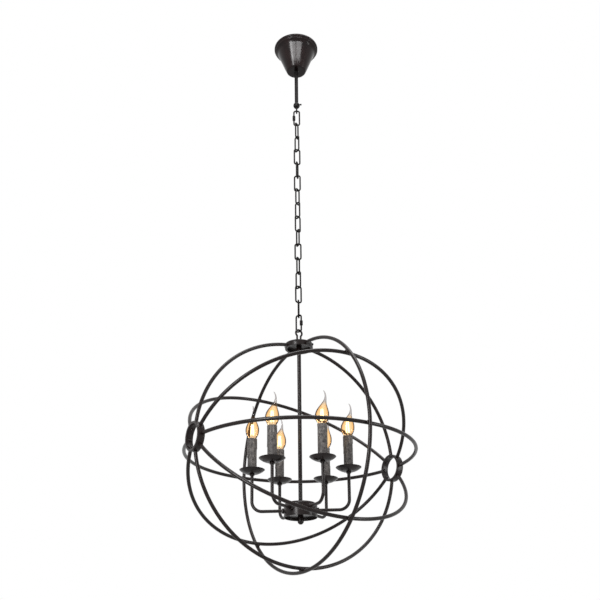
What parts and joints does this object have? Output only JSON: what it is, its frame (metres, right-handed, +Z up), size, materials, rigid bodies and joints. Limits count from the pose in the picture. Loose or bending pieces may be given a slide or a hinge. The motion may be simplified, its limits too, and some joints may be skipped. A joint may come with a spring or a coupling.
{
  "type": "orb chandelier",
  "caption": "Chandelier with candle lamps inside an open sphere of crossed round-bar hoops, hung by a chain and rod from a bell canopy.",
  "frame": {"origin": "centre of the mounting bar's ceiling face, midway between its two screw slots", "axes": "+Z up into the ceiling, +X along the mounting bar, -Y towards the picture's camera; the side hubs' axis is turned 31.7 degrees from +X towards +Y"},
  "size_m": [0.581, 0.581, 1.5071],
  "materials": {
    "bronze": "satin dark bronze powder coat",
    "black": "gloss black-bronze paint",
    "links": "semi-gloss dark bronze paint on bent wire",
    "steel": "zinc-plated steel",
    "wax": "moulded candle sleeve with wax drips, painted dark",
    "socket": "moulded lamp holder",
    "lamp_glass": "amber-tinted clear glass"
  },
  "bodies": {
    "ceiling_fixing": {"mounting_bar": "steel", "rod_nut": "steel", "suspension_rod": "bronze", "ball": "bronze", "eye_bolt": "bronze"},
    "canopy": {"canopy": "black", "canopy_screws": "black"},
    "lock_screw": {"lock_screw": "bronze"},
    "quick_link_top": {"quick_link_top": "links"},
    "chain_link_02": {"chain_link_02": "links"},
    "chain_link_03": {"chain_link_03": "links"},
    "chain_link_04": {"chain_link_04": "links"},
    "chain_link_05": {"chain_link_05": "links"},
    "chain_link_06": {"chain_link_06": "links"},
    "chain_link_07": {"chain_link_07": "links"},
    "chain_link_08": {"chain_link_08": "links"},
    "chain_link_09": {"chain_link_09": "links"},
    "chain_link_10": {"chain_link_10": "links"},
    "chain_link_11": {"chain_link_11": "links"},
    "chain_link_12": {"chain_link_12": "links"},
    "chain_link_13": {"chain_link_13": "links"},
    "chain_link_14": {"chain_link_14": "links"},
    "chain_link_15": {"chain_link_15": "links"},
    "quick_link_bottom": {"quick_link_bottom": "links"},
    "quick_nut_top": {"quick_nut_top": "links"},
    "quick_nut_bottom": {"quick_nut_bottom": "links"},
    "orb": {"hang_loop": "bronze", "hub_cap": "bronze", "hub_top": "bronze", "hub_left": "bronze", "hub_right": "bronze", "hub_screws": "bronze", "hoop_1": "bronze", "hoop_2": "bronze", "hoop_3": "bronze", "hoop_4": "bronze", "hoop_5": "bronze", "weld_beads": "bronze", "coupler": "bronze", "stem": "bronze", "stem_nuts": "bronze", "drum": "bronze", "arm_nuts": "bronze", "arm_1": "bronze", "arm_2": "bronze", "arm_3": "bronze", "arm_4": "bronze", "arm_5": "bronze", "arm_6": "bronze", "drip_cups": "bronze", "candle_sleeves": "wax", "lamp_holders": "socket"},
    "drum_cover": {"drum_cover": "bronze"},
    "finial": {"finial": "bronze"},
    "lamp_1": {"lamp_1": "lamp_glass"},
    "lamp_2": {"lamp_2": "lamp_glass"},
    "lamp_3": {"lamp_3": "lamp_glass"},
    "lamp_4": {"lamp_4": "lamp_glass"},
    "lamp_5": {"lamp_5": "lamp_glass"},
    "lamp_6": {"lamp_6": "lamp_glass"}
  },
  "joints": [
    {"name": "canopy_lower", "type": "slide", "parent": "ceiling_fixing", "child": "canopy", "axis": [0, 0, -1], "range_m": [0, 0.1]},
    {"name": "lock_screw_loosen", "type": "slide", "parent": "ceiling_fixing", "child": "lock_screw", "axis": [1, 0, 0], "range_m": [0, 0.003]},
    {"name": "quick_link_top_swing", "type": "hinge", "parent": "ceiling_fixing", "child": "quick_link_top", "pos_m": [0, 0, -0.2138], "axis": [0, -1, 0], "range_deg": [-40, 40]},
    {"name": "chain_link_02_swing", "type": "hinge", "parent": "quick_link_top", "child": "chain_link_02", "pos_m": [0, 0, -0.2554], "axis": [1, 0, 0], "range_deg": [-40, 40]},
    {"name": "chain_link_03_swing", "type": "hinge", "parent": "chain_link_02", "child": "chain_link_03", "pos_m": [0, 0, -0.297], "axis": [0.4226, 0.9063, 0], "range_deg": [-40, 40]},
    {"name": "chain_link_04_swing", "type": "hinge", "parent": "chain_link_03", "child": "chain_link_04", "pos_m": [0, 0, -0.3386], "axis": [-0.6428, 0.766, 0], "range_deg": [-40, 40]},
    {"name": "chain_link_05_swing", "type": "hinge", "parent": "chain_link_04", "child": "chain_link_05", "pos_m": [0, 0, -0.3802], "axis": [-0.9703, -0.2419, 0], "range_deg": [-40, 40]},
    {"name": "chain_link_06_swing", "type": "hinge", "parent": "chain_link_05", "child": "chain_link_06", "pos_m": [0, 0, -0.4218], "axis": [-0.2419, -0.9703, 0], "range_deg": [-40, 40]},
    {"name": "chain_link_07_swing", "type": "hinge", "parent": "chain_link_06", "child": "chain_link_07", "pos_m": [0, 0, -0.4634], "axis": [0.9848, -0.1736, 0], "range_deg": [-40, 40]},
    {"name": "chain_link_08_swing", "type": "hinge", "parent": "chain_link_07", "child": "chain_link_08", "pos_m": [0, 0, -0.505], "axis": [0.5736, 0.8192, 0], "range_deg": [-40, 40]},
    {"name": "chain_link_09_swing", "type": "hinge", "parent": "chain_link_08", "child": "chain_link_09", "pos_m": [0, 0, -0.5466], "axis": [-0.7071, 0.7071, 0], "range_deg": [-40, 40]},
    {"name": "chain_link_10_swing", "type": "hinge", "parent": "chain_link_09", "child": "chain_link_10", "pos_m": [0, 0, -0.5882], "axis": [-0.809, -0.5878, 0], "range_deg": [-40, 40]},
    {"name": "chain_link_11_swing", "type": "hinge", "parent": "chain_link_10", "child": "chain_link_11", "pos_m": [0, 0, -0.6298], "axis": [0.4226, -0.9063, 0], "range_deg": [-40, 40]},
    {"name": "chain_link_12_swing", "type": "hinge", "parent": "chain_link_11", "child": "chain_link_12", "pos_m": [0, 0, -0.6714], "axis": [-1, 0, 0], "range_deg": [-40, 40]},
    {"name": "chain_link_13_swing", "type": "hinge", "parent": "chain_link_12", "child": "chain_link_13", "pos_m": [0, 0, -0.713], "axis": [0.4226, 0.9063, 0], "range_deg": [-40, 40]},
    {"name": "chain_link_14_swing", "type": "hinge", "parent": "chain_link_13", "child": "chain_link_14", "pos_m": [0, 0, -0.7546], "axis": [0.7314, -0.682, 0], "range_deg": [-40, 40]},
    {"name": "chain_link_15_swing", "type": "hinge", "parent": "chain_link_14", "child": "chain_link_15", "pos_m": [0, 0, -0.7962], "axis": [0.9135, 0.4067, 0], "range_deg": [-40, 40]},
    {"name": "quick_link_bottom_swing", "type": "hinge", "parent": "chain_link_15", "child": "quick_link_bottom", "pos_m": [0, 0, -0.8378], "axis": [-0.0698, -0.9976, 0], "range_deg": [-40, 40]},
    {"name": "orb_swing", "type": "hinge", "parent": "quick_link_bottom", "child": "orb", "pos_m": [0, 0, -0.8794], "axis": [-0.848, 0.5299, 0], "range_deg": [-40, 40]},
    {"name": "quick_nut_top_open", "type": "slide", "parent": "quick_link_top", "child": "quick_nut_top", "axis": [0, 0, 1], "range_m": [0, 0.009]},
    {"name": "quick_nut_bottom_open", "type": "slide", "parent": "quick_link_bottom", "child": "quick_nut_bottom", "axis": [0, 0, 1], "range_m": [0, 0.009]},
    {"name": "drum_cover_lower", "type": "slide", "parent": "orb", "child": "drum_cover", "axis": [0, 0, -1], "range_m": [0, 0.03]},
    {"name": "finial_turn", "type": "hinge", "parent": "drum_cover", "child": "finial", "pos_m": [0, 0, -1.375], "axis": [0, 0, 1], "range_deg": [-720, 0]},
    {"name": "lamp_1_unscrew", "type": "hinge", "parent": "orb", "child": "lamp_1", "pos_m": [0.06596, 0.09965, -1.1685], "axis": [0, 0, 1], "range_deg": [0, 720]},
    {"name": "lamp_2_unscrew", "type": "hinge", "parent": "orb", "child": "lamp_2", "pos_m": [-0.05332, 0.10694, -1.1685], "axis": [0, 0, 1], "range_deg": [0, 720]},
    {"name": "lamp_3_unscrew", "type": "hinge", "parent": "orb", "child": "lamp_3", "pos_m": [-0.11928, 0.0073, -1.1685], "axis": [0, 0, 1], "range_deg": [0, 720]},
    {"name": "lamp_4_unscrew", "type": "hinge", "parent": "orb", "child": "lamp_4", "pos_m": [-0.06596, -0.09965, -1.1685], "axis": [0, 0, 1], "range_deg": [0, 720]},
    {"name": "lamp_5_unscrew", "type": "hinge", "parent": "orb", "child": "lamp_5", "pos_m": [0.05332, -0.10694, -1.1685], "axis": [0, 0, 1], "range_deg": [0, 720]},
    {"name": "lamp_6_unscrew", "type": "hinge", "parent": "orb", "child": "lamp_6", "pos_m": [0.11928, -0.0073, -1.1685], "axis": [0, 0, 1], "range_deg": [0, 720]}
  ]
}
